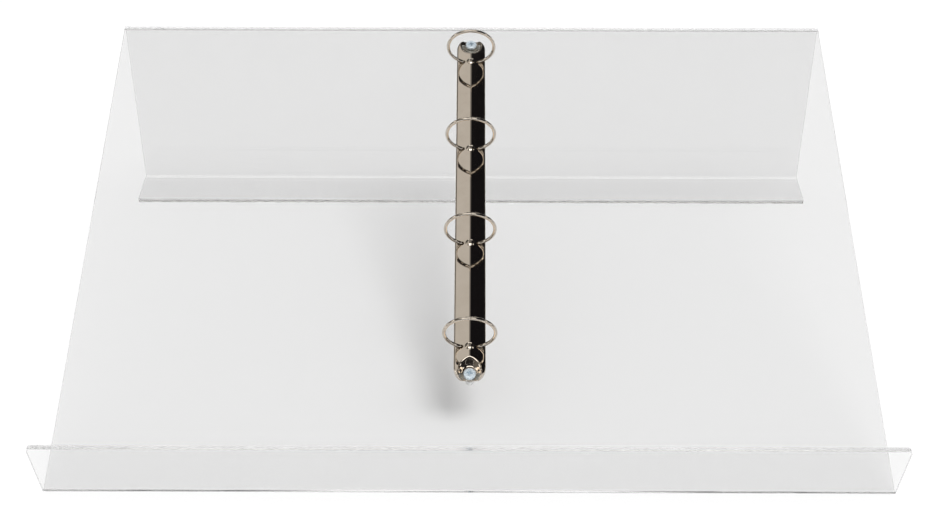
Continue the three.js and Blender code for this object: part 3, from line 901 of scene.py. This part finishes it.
def soft_window(tree, way, box, edge=0.03):
    """One inside a box of directions and zero outside it, for a lamp that metal can mirror."""
    inside = None
    for axis, (low, high) in box.items():
        for start, end in ((low - edge, low + edge), (high + edge, high - edge)):
            step = node(tree, "ShaderNodeMapRange", Value=way.outputs[axis], From_Min=start, From_Max=end)
            step = step.outputs[0]
            if inside is not None:
                step = node(tree, "ShaderNodeMath", {"operation": "MULTIPLY"}, i0=inside, i1=step).outputs[0]
            inside = step
    return inside


ceiling = blend_by(tree, way.outputs["X"], -0.34, -0.24, linear("#DCDAD6"), linear("#7E7C7A"))
ceiling = blend_by(tree, way.outputs["X"], 0.24, 0.34, ceiling, linear("#18171A"))
walls = blend_by(tree, way.outputs["X"], -0.9, -0.3, linear("#77746F"), linear("#2A292A"))
mirrored = blend_by(tree, way.outputs["Z"], 0.66, 0.74, walls, ceiling)
LAMPS_IN_METAL = {
    "front_bank": {"X": (-0.5, 0.4), "Y": (-0.72, -0.38), "Z": (0.62, 1.1)},
    "left_bank": {"X": (-1.1, -0.78), "Y": (-0.2, 0.2), "Z": (0.3, 0.5)},
    "right_bank": {"X": (0.8, 1.1), "Y": (-0.3, 0.0), "Z": (0.3, 0.45)},
    "back_bank": {"X": (-0.3, 0.3), "Y": (0.85, 1.1), "Z": (0.28, 0.42)},
}
for box in LAMPS_IN_METAL.values():
    mirrored = node(tree, "ShaderNodeMix", {"data_type": "RGBA"}, i0=soft_window(tree, way, box), i6=mirrored,
                    i7=(BANK, BANK, BANK * 0.98, 1.0)).outputs[2]
rays = node(tree, "ShaderNodeLightPath")
sky = node(tree, "ShaderNodeMix", {"data_type": "RGBA"}, i0=rays.outputs["Is Glossy Ray"],
           i6=linear(BACKDROP), i7=mirrored)
share = node(tree, "ShaderNodeMapRange", Value=rays.outputs["Is Diffuse Ray"], To_Min=1.0, To_Max=AROUND)
light = node(tree, "ShaderNodeBackground", Color=sky.outputs[2], Strength=share.outputs[0])
node(tree, "ShaderNodeOutputWorld", Surface=light.outputs[0])


# %% Key lamp
key = bpy.data.objects.new("key_lamp", bpy.data.lights.new("key_lamp", "SUN"))
bpy.context.scene.collection.objects.link(key)
key.data.energy, key.data.angle = KEY, math.radians(KEY_SPREAD)
key.rotation_euler = Vector(KEY_FROM).to_track_quat("Z", "Y").to_euler()
key.visible_glossy = key.visible_transmission = False
print("key lamp from", KEY_FROM, "spread", KEY_SPREAD, "degrees")

# %% [markdown]
# ## Light trapped in the sheet
#
# Light that enters an edge or a fold runs along inside the sheet and bounces many times before it gets out.
# If the renderer gives up after a few bounces, those places turn black, so we let it follow light further.
# The standard view transform shows the white table as plain white.

# %% Renderer's patience
scene = bpy.context.scene
scene.cycles.max_bounces, scene.cycles.glossy_bounces, scene.cycles.transmission_bounces = 128, 96, 96
scene.cycles.transparent_max_bounces = 32
scene.view_settings.view_transform = "Standard"
print("bounces:", scene.cycles.max_bounces)

# %% Are all pieces closed?
def open_edges(piece):
    work = bmesh.new()
    work.from_mesh(piece.data)
    count = sum(not edge.is_manifold for edge in work.edges)
    work.free()
    return count


frame_nodes = set(frame["nodes"])
made = [o for o in scene.objects if o.type == "MESH" and o.name not in frame_nodes and o != floor]
print("pieces with open edges:", [piece.name for piece in made if open_edges(piece)] or "none")
